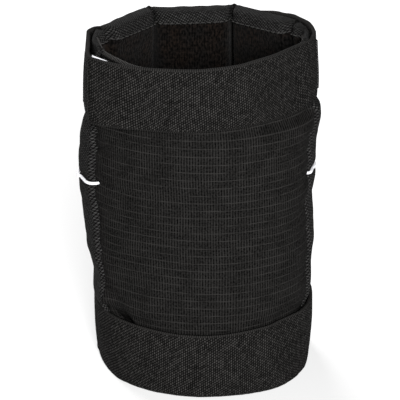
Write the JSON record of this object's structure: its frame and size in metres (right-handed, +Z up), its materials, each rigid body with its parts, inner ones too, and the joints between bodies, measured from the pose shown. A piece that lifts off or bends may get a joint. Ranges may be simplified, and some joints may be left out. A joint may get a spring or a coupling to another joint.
{
  "type": "elbow pad",
  "caption": "Padded slip-on elbow sleeve with an elastic rear panel, two elastic straps with hook-and-loop ends, and an elbow cup.",
  "frame": {"origin": "middle of the bounding box's underside, on the surface that the lower hem stands on", "axes": "+Z up the arm towards the upper arm, +Y out of the padded elbow face, +X to the right as seen from behind, the elastic side"},
  "size_m": [0.122, 0.102, 0.1715],
  "materials": {
    "cover_fabric": "matte",
    "brushed_lining": "matte",
    "foam": "matte",
    "ribbed_elastic": "matte",
    "strap_elastic": "matte",
    "binding_tape": "matte",
    "white_piping": "matte",
    "white_label": "matte",
    "thread": "matte",
    "loop_tape": "matte",
    "hook_tape": "matte",
    "grip_rubber": "matte"
  },
  "bodies": {
    "forearm_section": {"bottom_bar_tacks": "thread", "bottom_loop_patch": "loop_tape", "bottom_rim_binding": "binding_tape", "bottom_strap": "strap_elastic", "elbow_cup_cover": "cover_fabric", "elbow_cup_foam": "foam", "flex_gusset_left": "cover_fabric", "flex_gusset_right": "cover_fabric", "forearm_cover": "cover_fabric", "forearm_edge_binding_left": "binding_tape", "forearm_edge_binding_right": "binding_tape", "forearm_foam_centre": "foam", "forearm_foam_left": "foam", "forearm_foam_right": "foam", "forearm_lining": "brushed_lining", "forearm_wing_foam_left": "foam", "forearm_wing_foam_right": "foam", "rear_panel_flex": "ribbed_elastic", "rear_panel_lower": "ribbed_elastic", "white_piping": "white_piping"},
    "upper_section": {"rear_panel_upper": "ribbed_elastic", "size_label": "white_label", "top_bar_tacks": "thread", "top_loop_patch": "loop_tape", "top_rim_binding": "binding_tape", "top_strap": "strap_elastic", "upper_cover": "cover_fabric", "upper_edge_binding_left": "binding_tape", "upper_edge_binding_right": "binding_tape", "upper_foam_centre": "foam", "upper_foam_left": "foam", "upper_foam_right": "foam", "upper_lining": "brushed_lining", "upper_wing_foam_left": "foam", "upper_wing_foam_right": "foam"},
    "top_tab": {"top_hook_patch": "hook_tape", "top_strap_grip": "grip_rubber", "top_strap_tab": "strap_elastic"},
    "bottom_tab": {"bottom_hook_patch": "hook_tape", "bottom_strap_grip": "grip_rubber", "bottom_strap_tab": "strap_elastic"}
  },
  "joints": [
    {"name": "elbow_flex", "type": "hinge", "parent": "forearm_section", "child": "upper_section", "pos_m": [0, 0.038, 0.1006], "axis": [1, 0, 0], "range_deg": [0, 35], "stiffness_Nm_per_rad": 1.6, "deforming": ["rear_panel_flex", "flex_gusset_left", "flex_gusset_right", "white_piping"]},
    {"name": "top_strap_peel", "type": "hinge", "parent": "upper_section", "child": "top_tab", "pos_m": [0.02364, 0.0463, 0.1532], "axis": [0, 0, -1], "range_deg": [0, 150]},
    {"name": "bottom_strap_peel", "type": "hinge", "parent": "forearm_section", "child": "bottom_tab", "pos_m": [0.02381, 0.0463, 0.0167], "axis": [0, 0, -1], "range_deg": [0, 150]}
  ]
}
